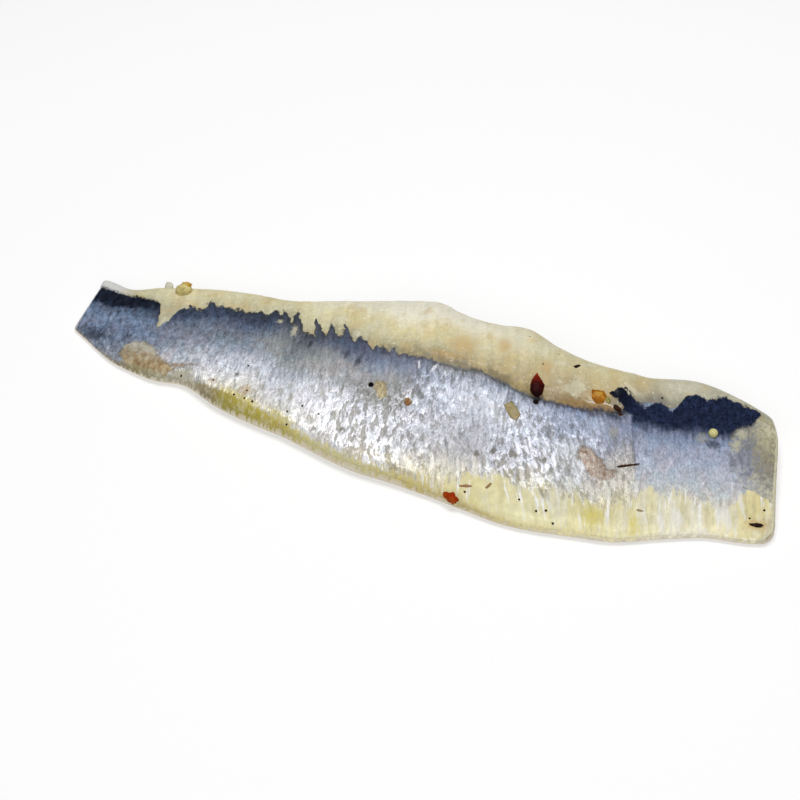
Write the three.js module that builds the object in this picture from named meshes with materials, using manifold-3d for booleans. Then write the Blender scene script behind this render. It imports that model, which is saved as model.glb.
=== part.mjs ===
// A herring fillet in oil: one boned side of herring with its skin on. It lies flat on its cut
// side, skin up. The tail end is at -X, the head end at +X, the back of the fish at +Y and the
// belly at -Y. The spice bits that stick to the skin are fused to it, so that it is one solid.
import * as THREE from 'three';
import { mergeVertices } from 'three/addons/utils/BufferGeometryUtils.js';
import Module from 'manifold-3d';

const wasm = await Module();
wasm.setup();

// Driving dimensions, in millimetres. A line of knots holds [place along the fish, value].
// The outline is two lines, the belly edge and the back edge, seen from above.
const BELLY_EDGE = [[-89, -1.3], [-83, -5], [-71, -12], [-65, -13.7], [-59, -14.8], [-52, -14.2],
  [-41, -18.9], [-27, -22.7], [-22, -23.6], [-17, -25.1], [0, -29.7], [7, -30.2], [11, -30.6],
  [18, -31.5], [25, -32.7], [38, -34.6], [55, -32.8], [62, -31.7], [73, -26.7], [82, -23],
  [90, -21.8], [97, -20]];
const BACK_EDGE = [[-89, 15.2], [-83, 14.4], [-77, 13.5], [-70, 17.2], [-59, 19.9], [-47, 20.8],
  [-35, 20.5], [-20, 24.5], [-5, 28.7], [1, 29.8], [8, 27], [18, 25.7], [25, 26.8], [34, 23],
  [43, 20.2], [55, 20.6], [68, 24.8], [79, 22.8], [91, 17.4], [97, 14.3]];
const TAIL_CUT = { belly: -86.5, back: -85.4 };
const HEAD_CUT = { belly: 97.2, back: 89.6 };
const HEAD_CORNER = { bellyCut: 4, bellyShare: 0.14, backCut: 3.5, backShare: 0.25 };

// How thick the fillet is under its crest, near the back, and along its belly edge.
const CREST_HEIGHT = [[-89, 6.2], [-78, 5.6], [-68, 5.6], [-55, 6.6], [-40, 8.6], [-10, 11.9],
  [15, 12.6], [45, 10.4], [60, 10], [70, 9.5], [97, 7]];
const BELLY_HEIGHT = [[-89, 1.6], [-65, 3], [-45, 5], [-20, 5.4], [5, 5], [20, 3.6], [60, 3],
  [97, 2.6]];

// The skin stops short of the back edge, where the bare flesh of the back stands above it.
const SKIN_LIMIT = [[-89, 10.6], [-77, 9.5], [-64, 8.5], [-55, 11.5], [-36, 12], [-28, 10],
  [-20, 7.5], [-8, 5.2], [5, 4.4], [14, 3.9], [19, 4.3], [24, 3.4], [33, 1], [40, 1.4], [50, 2.4],
  [60, 4], [75, 12], [97, 12]];
const FLESH_STEP = [[-89, 0.7], [-60, 0.6], [-35, 0.4], [-10, 0.6], [10, 1], [28, 1.4], [50, 1.6],
  [57, 0.7], [61, 0], [97, 0]];
const STEP_WIDTH = 2.2;
const SKIN_RISE = 0.86;
const SKIN_BULGE = 0.8;

// Cross sections lean towards the tail as they go up to the back, most of all at three quarters.
const SECTION_LEAN = [[0, 0], [0.25, -5], [0.45, -12], [0.7, -16], [0.86, -9], [1, 0]];

// Edges: how far in the top takes to round over, and how far the underside tucks in.
const BELLY_ROUNDING = { shareOfHeight: 0.5, more: 0.6, power: 2.6 };
const BACK_ROUNDING = { shareOfHeight: 0.85, power: 2.1 };
const WIDEST_AT = { belly: 0.4, back: 0.38 };
const TUCK = { belly: 1.8, back: 3 };
const CUT_FACE = { share: 0.6, tail: 1.2, head: 1.8 };

// The mesh: rings along the fillet, facets across its two faces, crowded towards the edges.
const RINGS = 76;
const TOP_FACETS = 31;
const UNDER_FACETS = 13;
const AROUND = TOP_FACETS + UNDER_FACETS;
const CROWDING = 0.7;

// A smooth curve through knots: cubic pieces whose slope at a knot comes from its neighbours.
function smoothCurve(knots) {
  const steps = knots.slice(1).map(([x], i) => x - knots[i][0]);
  const rates = knots.slice(1).map(([, y], i) => (y - knots[i][1]) / steps[i]);
  const last = steps.length - 1;
  const slopes = knots.map((knot, i) => {
    if (i === 0) return rates[0];
    if (i > last) return rates[last];
    return (rates[i - 1] * steps[i] + rates[i] * steps[i - 1]) / (steps[i - 1] + steps[i]);
  });
  return (place) => {
    const x = THREE.MathUtils.clamp(place, knots[0][0], knots[last + 1][0]);
    let i = 0;
    while (i < last && x >= knots[i + 1][0]) i += 1;
    const t = (x - knots[i][0]) / steps[i];
    const start = (1 + 2 * t) * (1 - t) ** 2 * knots[i][1] + t * (1 - t) ** 2 * steps[i] * slopes[i];
    const end = t * t * (3 - 2 * t) * knots[i + 1][1] + t * t * (t - 1) * steps[i] * slopes[i + 1];
    return start + end;
  };
}

const bellyEdge = smoothCurve(BELLY_EDGE);
const backEdge = smoothCurve(BACK_EDGE);
const crestHeight = smoothCurve(CREST_HEIGHT);
const bellyHeight = smoothCurve(BELLY_HEIGHT);
const skinLimit = smoothCurve(SKIN_LIMIT);
const fleshStep = smoothCurve(FLESH_STEP);
const sectionLean = smoothCurve(SECTION_LEAN);

// A quarter round that climbs from 0 to 1 as its distance goes from 0 to 1.
function quarterRound(distance, power = 2) {
  const t = THREE.MathUtils.clamp(distance, 0, 1);
  return (1 - (1 - t) ** power) ** (1 / power);
}

// Where the two cut ends are, at a share of the way across from the belly to the back.
function cutEnds(across) {
  const tail = THREE.MathUtils.lerp(TAIL_CUT.belly, TAIL_CUT.back, across);
  const square = THREE.MathUtils.lerp(HEAD_CUT.belly, HEAD_CUT.back, across);
  const bellyCorner = HEAD_CORNER.bellyCut * (1 - quarterRound(across / HEAD_CORNER.bellyShare));
  const backCorner = HEAD_CORNER.backCut * (1 - quarterRound((1 - across) / HEAD_CORNER.backShare));
  return { tail, head: square - bellyCorner - backCorner };
}

// The low swells of flesh that was pressed in a jar: two crossed waves, each with its height,
// the length that it takes to turn by one radian along and across, and how far it slants.
const SWELLS = [
  { height: 0.22, along: 5.3, start: 1.1, across: 7.1, slant: 1 / 19, phase: 0 },
  { height: 0.2, along: 9.7, start: -0.4, across: 4.3, slant: -1 / 31, phase: Math.PI / 2 },
];
function swell(x, y) {
  return SWELLS.reduce((sum, wave) => {
    const onward = Math.sin(x / wave.along + wave.start);
    return sum + wave.height * onward * Math.sin(y / wave.across + x * wave.slant + wave.phase);
  }, 0);
}

// The height of the top face before its edges are rounded over.
function topHeight(x, across) {
  const belly = bellyEdge(x);
  const back = backEdge(x);
  const y = THREE.MathUtils.lerp(belly, back, across);
  const skinShare = (skinLimit(x) - belly) / (back - belly);
  const pastSkin = y - skinLimit(x);
  const onSkin = SKIN_RISE * Math.min(across / skinShare, 1) ** SKIN_BULGE;
  const onFlesh = (1 - SKIN_RISE) * THREE.MathUtils.smoothstep(pastSkin, 0, (back - skinLimit(x)) / 2);
  const edge = bellyHeight(x);
  const step = fleshStep(x) * quarterRound(pastSkin / STEP_WIDTH);
  return edge + (crestHeight(x) - edge) * (onSkin + onFlesh) + step + swell(x, y);
}

// The height of the fillet's face, over or under, at a place along it and a share across it.
function faceHeight(x, across, under) {
  const width = backEdge(x) - bellyEdge(x);
  const fromBelly = across * width;
  const fromBack = (1 - across) * width;
  const crest = crestHeight(x);
  const edge = bellyHeight(x);
  const ends = cutEnds(across);
  const fromTail = quarterRound((x - ends.tail) / CUT_FACE.tail);
  const fromHead = quarterRound((ends.head - x) / CUT_FACE.head);
  const toEnd = Math.min(fromTail, fromHead);
  const middle = THREE.MathUtils.lerp(WIDEST_AT.belly * edge, WIDEST_AT.back * crest, across);
  if (under) {
    const tuck = quarterRound(fromBelly / TUCK.belly) * quarterRound(fromBack / TUCK.back);
    return middle * (1 - tuck * (1 + toEnd) / 2);
  }
  const bellySpan = BELLY_ROUNDING.shareOfHeight * edge + BELLY_ROUNDING.more;
  const bellyRound = quarterRound(fromBelly / bellySpan, BELLY_ROUNDING.power);
  const backRound = quarterRound(fromBack / (BACK_ROUNDING.shareOfHeight * crest), BACK_ROUNDING.power);
  const endRound = THREE.MathUtils.lerp(CUT_FACE.share, 1, toEnd);
  return middle + (topHeight(x, across) - middle) * bellyRound * backRound * endRound;
}

// A point of the fillet from its share along, its share across and its face.
function filletPoint(along, across, under) {
  const ends = cutEnds(across);
  const x = THREE.MathUtils.lerp(ends.tail, ends.head, along) + sectionLean(along) * across;
  const y = THREE.MathUtils.lerp(bellyEdge(x), backEdge(x), across);
  return new THREE.Vector3(x, y, faceHeight(x, across, under));
}

// Merges what a geometry's faces share, so that it is one closed mesh of positions alone.
function closedMesh(geometry) {
  geometry.deleteAttribute('normal');
  geometry.deleteAttribute('uv');
  return mergeVertices(geometry, 1e-4);
}

// A cylinder whose rings take the fillet's sections: over the top from belly to back, then under.
function filletGeometry() {
  const geometry = new THREE.CylinderGeometry(1, 1, 1, AROUND, RINGS);
  const place = geometry.attributes.position;
  for (let i = 0; i < place.count; i += 1) {
    const along = 0.5 - place.getY(i);
    const onRing = Math.hypot(place.getX(i), place.getZ(i)) > 0.5;
    const turn = Math.atan2(place.getX(i), place.getZ(i)) / (2 * Math.PI);
    const facet = Math.round((turn + 1) * AROUND) % AROUND;
    const under = facet > TOP_FACETS;
    const share = under ? (AROUND - facet) / UNDER_FACETS : facet / TOP_FACETS;
    const crowded = (1 - Math.cos(Math.PI * share)) / 2;
    const across = onRing ? THREE.MathUtils.lerp(share, crowded, CROWDING) : 0.5;
    const point = filletPoint(along, across, under);
    if (!onRing) point.lerp(filletPoint(along, across, true), 0.5);
    place.setXYZ(i, point.x, point.y, point.z);
  }
  return closedMesh(geometry);
}

function solidFrom(geometry) {
  const vertProperties = new Float32Array(geometry.attributes.position.array);
  const triVerts = new Uint32Array(geometry.index.array);
  return new wasm.Manifold(new wasm.Mesh({ numProp: 3, vertProperties, triVerts }));
}

function geometryFrom(solid) {
  const mesh = solid.getMesh();
  const geometry = new THREE.BufferGeometry();
  geometry.setAttribute('position', new THREE.BufferAttribute(new Float32Array(mesh.vertProperties), 3));
  geometry.setIndex(new THREE.BufferAttribute(new Uint32Array(mesh.triVerts), 1));
  return geometry;
}

// How the top face lies at a spot: its height, and the turn that stands a bit up on it.
const SLOPE_REACH = 0.8;
function spotOnTop(x, y) {
  const heightAt = (px, py) => {
    const across = (py - bellyEdge(px)) / (backEdge(px) - bellyEdge(px));
    return faceHeight(px, THREE.MathUtils.clamp(across, 0, 1), false);
  };
  const slopeX = (heightAt(x + SLOPE_REACH, y) - heightAt(x - SLOPE_REACH, y)) / (2 * SLOPE_REACH);
  const slopeY = (heightAt(x, y + SLOPE_REACH) - heightAt(x, y - SLOPE_REACH)) / (2 * SLOPE_REACH);
  const normal = new THREE.Vector3(-slopeX, -slopeY, 1).normalize();
  const turn = new THREE.Quaternion().setFromUnitVectors(new THREE.Vector3(0, 0, 1), normal);
  return { height: heightAt(x, y), turn };
}

// An uneven lump: a ball with few faces, stretched to its sizes and drawn out at one end.
function lumpGeometry({ size, point = 0, rough = 0.08, seed }) {
  const geometry = closedMesh(new THREE.IcosahedronGeometry(1, 1));
  const place = geometry.attributes.position;
  const half = new THREE.Vector3(...size).divideScalar(2);
  for (let i = 0; i < place.count; i += 1) {
    const wobble = 1 + rough * Math.sin(7.3 * i + seed);
    const taper = 1 - point * Math.max(place.getY(i), 0) ** 1.5;
    const corner = new THREE.Vector3(place.getX(i) * taper, place.getY(i), place.getZ(i));
    corner.multiply(half).multiplyScalar(wobble);
    place.setXYZ(i, corner.x, corner.y, corner.z);
  }
  return geometry;
}

// The spice bits that are large enough to be felt. at is the spot from above, size is width,
// length and thickness, turn is degrees about the upright, and buried is the share of the
// thickness that lies in the flesh.
const BITS = {
  chilliDrop: { at: [33.8, 3], size: [3.6, 7, 2.4], turn: 14, point: 0.75, buried: 0.4, seed: 1 },
  pepperFlake: { at: [48.3, 4.7], size: [3.8, 3.6, 2], turn: 20, buried: 0.4, seed: 2 },
  pepperCrumb: { at: [53, 3.5], size: [2.8, 2, 1.4], turn: -20, buried: 0.4, seed: 3 },
  mustardSeed: { at: [76.2, 5.5], size: [2.3, 2.3, 2.2], turn: 0, rough: 0.01, buried: 0.35, seed: 4 },
  herbFlake: { at: [92.3, -17.4], size: [2.9, 1.3, 1], turn: 15, buried: 0.5, seed: 5 },
  bayCrumb: { at: [30.1, -4.9], size: [3.6, 4.8, 1.2], turn: -20, buried: 0.5, seed: 6 },
  redCrumb: { at: [5.7, -10], size: [2.2, 2.1, 1.4], turn: 0, buried: 0.4, seed: 7 },
  onionShred: { at: [-1.8, -8.6], size: [3, 4.2, 1.5], turn: 25, buried: 0.5, seed: 8 },
  onionScrap: { at: [52.8, -13.8], size: [5.2, 8.4, 1.6], turn: 40, buried: 0.5, seed: 9 },
  herbStalk: { at: [60.4, -11.6], size: [4.8, 0.9, 1], turn: 30, buried: 0.4, seed: 10 },
  edgeChilli: { at: [24.2, -32], size: [3.6, 2.6, 2.6], turn: -12, buried: 0.6, seed: 11 },
  edgePepper: { at: [-63.3, 15.3], size: [3.4, 2.6, 2], turn: 0, buried: 0.4, seed: 12 },
  edgeCrumb: { at: [-68.6, 15.6], size: [1.8, 1.6, 1.6], turn: 0, buried: 0.4, seed: 13 },
  tailScrap: { at: [-63.6, -9.4], size: [8.2, 6.8, 1.8], turn: 20, buried: 0.5, seed: 14 },
};

function bitGeometry(bit) {
  const [x, y] = bit.at;
  const spot = spotOnTop(x, y);
  const upright = new THREE.Vector3(0, 0, 1);
  const turn = new THREE.Quaternion().setFromAxisAngle(upright, THREE.MathUtils.degToRad(bit.turn));
  const frame = new THREE.Matrix4().makeRotationFromQuaternion(spot.turn.multiply(turn));
  frame.setPosition(x, y, spot.height + bit.size[2] * (0.5 - bit.buried));
  return lumpGeometry(bit).applyMatrix4(frame);
}

function makeFillet() {
  let fused = solidFrom(filletGeometry());
  Object.values(BITS).forEach((bit) => {
    fused = fused.add(solidFrom(bitGeometry(bit)));
  });
  const geometry = geometryFrom(fused);
  geometry.computeBoundingBox();
  const low = geometry.boundingBox.min;
  const high = geometry.boundingBox.max;
  geometry.translate(-(low.x + high.x) / 2, -(low.y + high.y) / 2, -low.z);
  geometry.computeVertexNormals();
  const oiledFish = new THREE.MeshStandardMaterial({ color: 0xb9b9b6, roughness: 0.25, metalness: 0.3 });
  const fillet = new THREE.Mesh(geometry, oiledFish);
  fillet.name = 'fillet';
  return fillet;
}

const group = new THREE.Group();
group.add(makeFillet());

export default group;
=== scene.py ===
# %% [markdown]
# # A herring fillet in oil
# One side of a herring, boned, with its skin left on, and taken out of a jar of spiced oil. The
# lesson shapes one soft form from a few measured lines, lays the fish's own pattern over it with
# painted fields, and scatters the spice bits that cling to it. Everything is in metres once it
# is in Blender, but fish are measured in millimetres, so the numbers below are millimetres until
# the last moment.

# %% Load the measured model
import math

import bmesh
import bpy
import numpy as np
from mathutils import Matrix, Vector


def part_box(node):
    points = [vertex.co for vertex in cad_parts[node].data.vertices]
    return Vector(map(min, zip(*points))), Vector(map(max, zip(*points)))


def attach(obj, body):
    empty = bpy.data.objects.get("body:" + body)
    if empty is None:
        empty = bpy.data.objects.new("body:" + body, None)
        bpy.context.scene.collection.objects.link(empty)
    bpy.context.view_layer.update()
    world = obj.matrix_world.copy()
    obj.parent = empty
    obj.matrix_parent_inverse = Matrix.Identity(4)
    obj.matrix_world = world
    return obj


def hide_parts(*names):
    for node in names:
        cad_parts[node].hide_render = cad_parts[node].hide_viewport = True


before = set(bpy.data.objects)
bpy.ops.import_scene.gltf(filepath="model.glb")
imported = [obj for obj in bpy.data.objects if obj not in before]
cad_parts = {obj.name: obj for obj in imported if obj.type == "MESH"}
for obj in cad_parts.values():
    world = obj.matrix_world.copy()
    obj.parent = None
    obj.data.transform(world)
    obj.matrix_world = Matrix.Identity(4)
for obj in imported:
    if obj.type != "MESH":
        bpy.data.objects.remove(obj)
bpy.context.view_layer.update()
MM = 0.001

# %% [markdown]
# ## The measured lines
# A fillet has no straight edge to build from. What can be measured on it are lines: where the
# belly edge and the back edge run when seen from above, how high the crest of the back stands,
# and how thick the thin belly edge is. Each line is a short list of knots, and a smooth curve
# goes through them. The same knots made the solid that this visible skin stands in for.

# %% Lines along the fish
def smooth_curve(knots):
    """A curve through knots: cubic pieces whose slope at a knot comes from its neighbours."""
    places, values = np.array(knots, float).T
    steps = np.diff(places)
    rates = np.diff(values) / steps
    inner = (rates[:-1] * steps[1:] + rates[1:] * steps[:-1]) / (steps[:-1] + steps[1:])
    slopes = np.concatenate([rates[:1], inner, rates[-1:]])

    def curve(place):
        x = np.clip(np.asarray(place, float), places[0], places[-1])
        i = np.clip(np.searchsorted(places, x, side="right") - 1, 0, len(steps) - 1)
        t = (x - places[i]) / steps[i]
        start = (1 + 2 * t) * (1 - t) ** 2 * values[i] + t * (1 - t) ** 2 * steps[i] * slopes[i]
        end = t * t * (3 - 2 * t) * values[i + 1] + t * t * (t - 1) * steps[i] * slopes[i + 1]
        return start + end

    return curve


# Knots are (place along the fish, value). The tail is at the low end.
belly_edge = smooth_curve([
    (-89, -1.3), (-83, -5), (-71, -12), (-65, -13.7), (-59, -14.8), (-52, -14.2), (-41, -18.9),
    (-27, -22.7), (-22, -23.6), (-17, -25.1), (0, -29.7), (7, -30.2), (11, -30.6), (18, -31.5), (25, -32.7),
    (38, -34.6), (55, -32.8), (62, -31.7), (73, -26.7), (82, -23), (90, -21.8), (97, -20),
])
back_edge = smooth_curve([
    (-89, 15.2), (-83, 14.4), (-77, 13.5), (-70, 17.2), (-59, 19.9), (-47, 20.8), (-35, 20.5), (-20, 24.5),
    (-5, 28.7), (1, 29.8), (8, 27), (18, 25.7), (25, 26.8), (34, 23), (43, 20.2), (55, 20.6), (68, 24.8),
    (79, 22.8), (91, 17.4), (97, 14.3),
])
crest_height = smooth_curve([
    (-89, 6.2), (-78, 5.6), (-68, 5.6), (-55, 6.6), (-40, 8.6), (-10, 11.9), (15, 12.6), (45, 10.4),
    (60, 10), (70, 9.5), (97, 7),
])
belly_height = smooth_curve([
    (-89, 1.6), (-65, 3), (-45, 5), (-20, 5.4), (5, 5), (20, 3.6), (60, 3), (97, 2.6),
])
skin_limit = smooth_curve([
    (-89, 10.6), (-77, 9.5), (-64, 8.5), (-55, 11.5), (-36, 12), (-28, 10), (-20, 7.5), (-8, 5.2), (5, 4.4),
    (14, 3.9), (19, 4.3), (24, 3.4), (33, 1), (40, 1.4), (50, 2.4), (60, 4), (75, 12), (97, 12),
])
flesh_step = smooth_curve([
    (-89, 0.7), (-60, 0.6), (-35, 0.4), (-10, 0.6), (10, 1), (28, 1.4), (50, 1.6), (54.5, 0.9),
    (57.5, 0.15), (59.5, 0), (97, 0),
])
section_lean = smooth_curve([(0, 0), (0.25, -5), (0.45, -12), (0.7, -16), (0.86, -9), (1, 0)])

print("widest at", max(range(-80, 90), key=lambda x: back_edge(x) - belly_edge(x)), "mm from the middle")

# %% [markdown]
# ## The form between the lines
# Every cross section is the same idea: a thin belly edge, skin that climbs to the crest, and the
# bare flesh of the back, which stands a step above the skin and rolls over to the board. Two cut
# ends close it. Writing the form as a height at any spot lets the mesh, the spice bits and the
# painted fields all ask the same question and get the same answer.

# %% The height of the fillet at any spot
TAIL_CUT = (-86.5, -85.4)      # belly corner, back corner
HEAD_CUT = (97.2, 89.6)
HEAD_CORNERS = ((4.0, 0.14), (3.5, 0.25))      # cut back by, over this share of the width
STEP_WIDTH = 2.2
SKIN_RISE = 0.86      # share of the crest's height that the skin climbs
SKIN_POWER = 0.8
CREST_SOFTNESS = (0.07, 0.36)      # of the skin's width, towards the tail and at the head
BELLY_ROUNDING = (0.5, 0.6, 2.6)      # share of the height, and more, and the power of the round
BACK_ROUNDING = (0.85, 2.1)
WIDEST_AT = (0.4, 0.38)      # share of the height where an edge bulges, belly and back
TUCK = (1.8, 3.0)      # how far in the underside curls up, at the belly and at the back
CUT_FACE = (0.6, 1.2, 1.8)      # share left upright, round at the tail, round at the head


def lerp(low, high, share):
    return low + (high - low) * share


def quarter_round(distance, power=2.0):
    """Climbs from 0 to 1 like a quarter of a circle as the distance goes from 0 to 1."""
    return (1 - (1 - np.clip(distance, 0, 1)) ** power) ** (1 / power)


def ease(value, low=0.0, high=1.0):
    """Goes smoothly from 0 at low to 1 at high."""
    t = np.clip((value - low) / (high - low), 0, 1)
    return t * t * (3 - 2 * t)


def cut_ends(across):
    """Where the tail and the head are cut, for a share of the way across."""
    (belly_cut, belly_share), (back_cut, back_share) = HEAD_CORNERS
    corners = belly_cut * (1 - quarter_round(across / belly_share))
    corners = corners + back_cut * (1 - quarter_round((1 - across) / back_share))
    return lerp(*TAIL_CUT, across), lerp(*HEAD_CUT, across) - corners


def swell(x, y):
    """The low swells of flesh that was pressed in a jar."""
    short = 0.22 * np.sin(x / 5.3 + 1.1) * np.sin(y / 7.1 + x / 19)
    return short + 0.2 * np.sin(x / 9.7 - 0.4) * np.cos(y / 4.3 - x / 31)


def top_height(x, across):
    """The height of skin and flesh before the edges are rounded."""
    belly, back, limit = belly_edge(x), back_edge(x), skin_limit(x)
    y = lerp(belly, back, across)
    climb = across * (back - belly) / (limit - belly)
    soft = lerp(*CREST_SOFTNESS, ease(x, 52, 68))
    climb = (climb + 1 - np.sqrt((climb - 1) ** 2 + soft ** 2)) / 2
    on_skin = SKIN_RISE * np.maximum(climb, 0) ** SKIN_POWER
    on_flesh = (1 - SKIN_RISE) * ease(y - limit, 0, (back - limit) * lerp(0.5, 1, ease(x, 55, 66)))
    step = flesh_step(x) * quarter_round((y - limit) / STEP_WIDTH)
    edge = belly_height(x)
    return edge + (crest_height(x) - edge) * (on_skin + on_flesh) + step + swell(x, y)


def face_height(x, across, under):
    """The height of the top face, or of the underside where under is true."""
    width = back_edge(x) - belly_edge(x)
    crest, edge = crest_height(x), belly_height(x)
    tail, head = cut_ends(across)
    upright, tail_round, head_round = CUT_FACE
    to_end = np.minimum(quarter_round((x - tail) / tail_round), quarter_round((head - x) / head_round))
    middle = lerp(WIDEST_AT[0] * edge, WIDEST_AT[1] * crest, across)
    from_belly, from_back = across * width, (1 - across) * width
    share, more, power = BELLY_ROUNDING
    belly_round = quarter_round(from_belly / (share * edge + more), power)
    back_round = quarter_round(from_back / (BACK_ROUNDING[0] * crest), BACK_ROUNDING[1])
    top = middle + (top_height(x, across) - middle) * belly_round * back_round * lerp(upright, 1, to_end)
    tuck = quarter_round(from_belly / TUCK[0]) * quarter_round(from_back / TUCK[1])
    return np.where(under, middle * (1 - tuck * (1 + to_end) / 2), top)


def fillet_points(along, across, under):
    """Points of the fillet from shares along and across it, as columns x, y and z."""
    tail, head = cut_ends(across)
    x = lerp(tail, head, along) + section_lean(along) * across
    y = lerp(belly_edge(x), back_edge(x), across)
    return np.stack([x, y, face_height(x, across, under)], axis=-1)


def surface_at(x, y):
    """The height of the top face above a spot on the board."""
    across = (y - belly_edge(x)) / (back_edge(x) - belly_edge(x))
    return face_height(x, np.clip(across, 0, 1), False)


# %% [markdown]
# ## Natural unevenness
# Fish skin is never smooth, and no two square centimetres are alike. A field of soft random hills
# gives that. It is made from a plain hash, so it is the same on every run.

# %% Soft random hills
HASH = (127.1, 311.7, 74.7, 43758.5453)


def hills(u, v, seed=0):
    """Smooth random heights from -1 to 1, about one hill for each unit of u and of v."""
    column, row = np.floor(u), np.floor(v)

    def corner(i, j):
        mixed = np.sin((column + i) * HASH[0] + (row + j) * HASH[1] + seed * HASH[2]) * HASH[3]
        return (mixed - np.floor(mixed)) * 2 - 1

    right, up = ease(u - column), ease(v - row)
    return lerp(lerp(corner(0, 0), corner(1, 0), right), lerp(corner(0, 1), corner(1, 1), right), up)


print("three hills:", [round(float(hills(np.float64(i), 0.5)), 2) for i in range(3)])

# %% [markdown]
# ## The pattern of a herring
# The dark back, the bright flank and the yellow belly are not shapes but zones. Each zone is
# measured as a field: a number at every vertex that says how many millimetres inside or outside
# the zone it lies. The material turns a field into an edge, and because the field is smooth the
# edge can be much finer than the mesh. The skin tore off the back in small teeth, one for each
# row of muscle, so its upper border is a smooth line with teeth added.

# %% Lines of the pattern
skin_top = smooth_curve([
    (-89, 10.4), (-77, 9.4), (-70, 9.3), (-64, 7.8), (-58, 9.2), (-51, 10.8), (-45, 10.9), (-39.6, 11),
    (-36, 11.6), (-32.5, 9.9), (-29, 6.4), (-20, 6.2), (-14, 5.3), (-8, 4), (-4, 3.5), (0, 3.7), (5, 4),
    (14, 3.6), (19, 4.2), (24, 3.2), (33, 0.8), (40, 1.2), (50, 2.5), (54, 3.4), (57, 7.3), (59, 8.8),
    (62, 10), (65, 10.2), (66.4, 11.6), (70, 15.2), (76, 16.4), (84, 15), (97, 10),
])
# Each tooth is (place along, height, width at its foot, power of its round). A tear has a height
# below zero.
SKIN_TEETH = [(-59.3, 1.4, 2.6, 1.3), (-54.2, 2.8, 4.6, 1.1), (-50.9, 1.1, 3, 1.3), (-47, 0.5, 2, 1.3),
              (-41.3, 1, 3.4, 1.5), (-37.2, 1, 3.2, 1.4), (-34.3, 1, 3.2, 1.4), (-29.2, 3.6, 4.4, 1.9),
              (-23.2, 6.4, 2.4, 0.95), (-19.6, 3.8, 3, 0.85), (-15.8, 4.9, 3.4, 0.85), (-11.2, 1.6, 4.6, 1.7),
              (-7.2, 1.9, 1.3, 1), (-5.4, 0.7, 3, 1.5), (-3, 1.7, 2.8, 1), (-0.6, 0.8, 2, 1.2),
              (1.4, 0.4, 2, 1.2)]
SKIN_TEARS = [(-64.7, -7.6, 5.4, 1.05), (-39.6, -0.8, 1.4, 1.2)]
TOOTH_LEAN = 0.5
band_foot = smooth_curve([
    (-89, 6), (-82.8, 5), (-80, 4.9), (-76.2, 5.6), (-72.3, 6.3), (-69, 7.6), (-67, 9.4), (-65, 14),
])
navy_top = smooth_curve([
    (49.6, 5.5), (50.6, 7.4), (51.4, 8.7), (53.5, 9.7), (55.3, 8.9), (57.1, 7.7), (58.8, 7.3), (60.1, 7.9),
    (60.8, 9.8), (62.2, 10.6), (63.8, 10.3), (65.4, 9.6), (66.2, 12.6), (66.8, 15), (68.2, 16.4),
    (69.9, 17.3), (72.1, 16.5), (74.3, 18.3), (75.6, 19), (77.1, 18.4), (79.6, 18.8), (82.1, 17.9),
    (84.1, 18.2), (85.5, 16.6),
])
navy_foot = smooth_curve([
    (49.6, 8.5), (50.7, 6.6), (52, 5.8), (54, 4.8), (55.6, 3.4), (58.1, 1.5), (63.1, 1.6), (65.6, 1.3),
    (68.8, 2.9), (73.1, 4.9), (76.8, 4.7), (80, 5.4), (82, 7.8), (83.8, 9.8), (84.8, 13), (85.5, 16.4),
])
yellow_top = smooth_curve([
    (-10, -33), (5, -31.4), (15.8, -30), (20.7, -29.2), (24.8, -27.4), (29, -25.5), (33.7, -25),
    (43.5, -25.5), (50.6, -25.4), (57.4, -24.3), (63.6, -21), (65.9, -17.4), (69, -15.6), (75.6, -13.6),
    (80.8, -14.9), (85.6, -13.2), (86.9, -9), (91.3, -7), (97, -7),
])
# How deep below its border the skin turns bright, how much of it lies bare between the bright
# patches, and how strongly the two differ.
silver_depth = smooth_curve([
    (-89, 30), (-60, 24), (-47, 18.5), (-39, 17), (-30, 14), (-22, 12.5), (-14, 14), (-9, 12), (2, 9),
    (7, 4), (14, 1.5), (26, 2.5), (41, 4), (51, 6), (58, 10), (97, 12),
])
gaps_at = smooth_curve([
    (-89, 0.3), (-60, 0.2), (-36, 0), (-22, 0), (-14, 0.4), (-8, 0.75), (0, 0.9), (5, 0.8), (9, 0.5),
    (13, 0.4), (18, 0.3), (24, 0.4), (31, 0.6), (45, 0.6), (97, 0.5),
])
contrast_at = smooth_curve([
    (-89, 0.3), (-66, 0.35), (-50, 0.75), (-36, 0.7), (-18, 0.7), (-8, 0.95), (2, 1), (8, 0.9), (13, 0.75),
    (18, 0.55), (26, 0.5), (32, 0.8), (40, 0.85), (48, 0.7), (58, 0.5), (70, 0.3), (97, 0.3),
])
# How strongly the dark pigment is mottled, and where the mottles are blots and not strokes.
mottle_at = smooth_curve([
    (-89, 3.6), (-68, 3.1), (-58, 2.6), (-40, 2.4), (-20, 1.4), (10, 1.3), (30, 1.5), (48, 1.9), (58, 1.5),
    (70, 1.4), (97, 1.4),
])
# How far the skin stops short of the belly edge, where the cut flank shows below it.
flank_shows = smooth_curve([
    (-89, 0.1), (-70, 0.3), (-60, 0.9), (-55, 0.3), (-49, 0.5), (-44, 1.6), (-38, 2.3), (-30, 1.7),
    (-22, 1.1), (-13, 0.9), (0, 0.8), (12, 0.7), (25, 0.7), (50, 0.4), (97, 0.3),
])
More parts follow.
